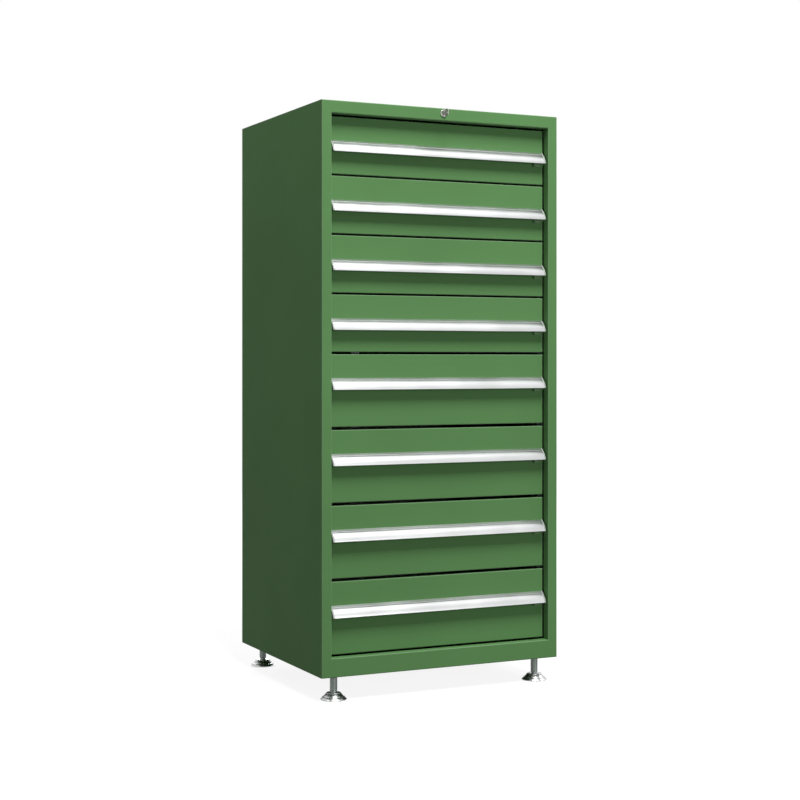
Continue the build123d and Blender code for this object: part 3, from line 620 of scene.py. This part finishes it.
hanger_sheet, hanger_bend, hanger_half = 2.0 * mm, 3.0 * mm, 15.0 * mm
hanger_foot, below_rod, rod_hole = 15.0 * mm, 12.0 * mm, 4.1 * mm
hanger_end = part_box("lock_barrel_and_rod_hanger")[1]
leg_front = hanger_end.y - hanger_foot
leg_top = hanger_end.z - hanger_bend
leg_corners = ((-hanger_half, -below_rod), (hanger_half, leg_top - lock_centre[2]))
leg_points, leg_faces = plate_with_hole(leg_corners, hanger_sheet, rod_hole)
leg_points += (0.0, leg_front, lock_centre[2])
quarter = np.linspace(0.0, math.pi / 2, 6)
inner = hanger_bend - hanger_sheet
turn_in = hanger_bend * np.stack((np.cos(quarter) - 1.0, np.sin(quarter)), axis=1)
turn_back = inner * np.stack((np.sin(quarter), np.cos(quarter)), axis=1) - (hanger_bend, 0.0)
foot_end = np.array(((-hanger_foot, hanger_bend), (-hanger_foot, inner)))
foot_outline = np.vstack((turn_in, foot_end, turn_back))
foot_points, foot_faces = carried(foot_outline, (-hanger_half, hanger_half))
foot_points += (0.0, leg_front, leg_top)
hanger = mesh_piece(
    "rod_hanger",
    np.vstack((leg_points, foot_points)),
    list(leg_faces) + [tuple(np.add(face, len(leg_points))) for face in foot_faces],
)
for piece, material in ((barrel, nickel), (lock_nut, nickel), (hanger, zinc)):
    close_up(piece)
    piece.data.materials.append(material)
    shade(piece, 30.0)
    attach(piece, "cabinet")
    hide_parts("lock_barrel_and_rod_hanger")
give_finish("lock_plug", nickel)
give_finish("lock_key", key_nickel)


# Feet: a turned and chromed steel cup with two slopes and a step, its underside flat on the floor,
# and a plain steel spindle with a coarse thread that screws into a nut welded to the base.
def threaded(centre, bottom, top, crest, root, pitch, segments, rings_per_turn):
    """A right-hand thread: the radius runs from root to crest by a rounded wave of the height over
    the pitch less the turn's share, and fades to root within a pitch of each end."""
    rings = int((top - bottom) / pitch * rings_per_turn) + 1
    height = np.linspace(bottom, top, rings)[:, None]
    angle = np.linspace(0.0, 2.0 * math.pi, segments, endpoint=False)[None, :]
    wave = 0.5 + 0.5 * np.cos(2.0 * math.pi * height / pitch - angle)
    fade = np.clip(np.minimum(height - bottom, top - height) / pitch, 0.0, 1.0)
    radius = root + (crest - root) * np.clip(1.3 * wave, 0.0, 1.0) * fade
    height = np.broadcast_to(height, radius.shape)
    points = np.stack((radius * np.cos(angle), radius * np.sin(angle), height), axis=-1)
    return points.reshape(-1, 3) + centre, rings


chrome = plated("chrome_plate", (0.58, 0.59, 0.59), 0.27, 3000.0)
spindle_steel = plated("bright_spindle_steel", (0.30, 0.33, 0.31), 0.34, 1500.0)
quarter = np.linspace(0.0, math.pi / 2, 5)
cup_profile = np.vstack((
    [(0.0, 0.0), (33.6, 0.0), (34.6, 0.4)],
    np.stack((34.0 + np.cos(quarter), 2.0 + np.sin(quarter)), axis=1),
    [(29.3, 8.2), (28.6, 8.5), (27.6, 8.5), (27.1, 8.95), (19.6, 17.7)],
    np.stack((18.0 + 1.1 * np.cos(quarter), 17.9 + 1.1 * np.sin(quarter)), axis=1),
    [(7.8, 19.0), (7.3, 18.5), (7.3, 5.0), (0.0, 5.0)],
)) * mm
neck_profile = np.array([
    (0.0, 5.0), (6.6, 5.0), (7.0, 5.4), (7.0, 20.5), (8.2, 20.5), (8.9, 21.2),
]) * mm
end_profile = np.array([(8.9, 89.2), (8.1, 90.0), (0.0, 90.0)]) * mm
thread_start, thread_crest, thread_root, thread_pitch = 22.0 * mm, 10.0 * mm, 8.9 * mm, 2.5 * mm
end_chamfer, stem_segments = 0.8 * mm, 40
for foot in ("front_left", "front_right", "rear_left", "rear_right"):
    low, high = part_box(f"{foot}_foot_cup")
    centre = np.array(((low.x + high.x) / 2, (low.y + high.y) / 2, 0.0))
    cup_points, cup_faces = turned(cup_profile, 72, centre)
    cup = mesh_piece(f"{foot}_cup", cup_points, cup_faces)
    close_up(cup)
    cup.data.materials.append(chrome)
    shade(cup, 30.0)
    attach(cup, f"{foot}_foot_cup")
    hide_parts(f"{foot}_foot_cup")

    thread_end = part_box(f"{foot}_foot_stem")[1].z - end_chamfer
    shank_points, rings = threaded(
        centre, thread_start, thread_end, thread_crest, thread_root, thread_pitch, stem_segments, 8
    )
    neck_points, _ = turned(neck_profile, stem_segments, centre)
    end_points, _ = turned(end_profile, stem_segments, centre)
    rings += len(neck_profile) + len(end_profile)
    stem_points = np.vstack((neck_points, shank_points, end_points))
    _, stem_faces = turned(np.zeros((rings, 2)), stem_segments)
    stem = mesh_piece(f"{foot}_spindle", stem_points, stem_faces)
    close_up(stem)
    stem.data.materials.append(spindle_steel)
    shade(stem, 40.0)
    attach(stem, f"{foot}_foot_stem")
    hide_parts(f"{foot}_foot_stem")
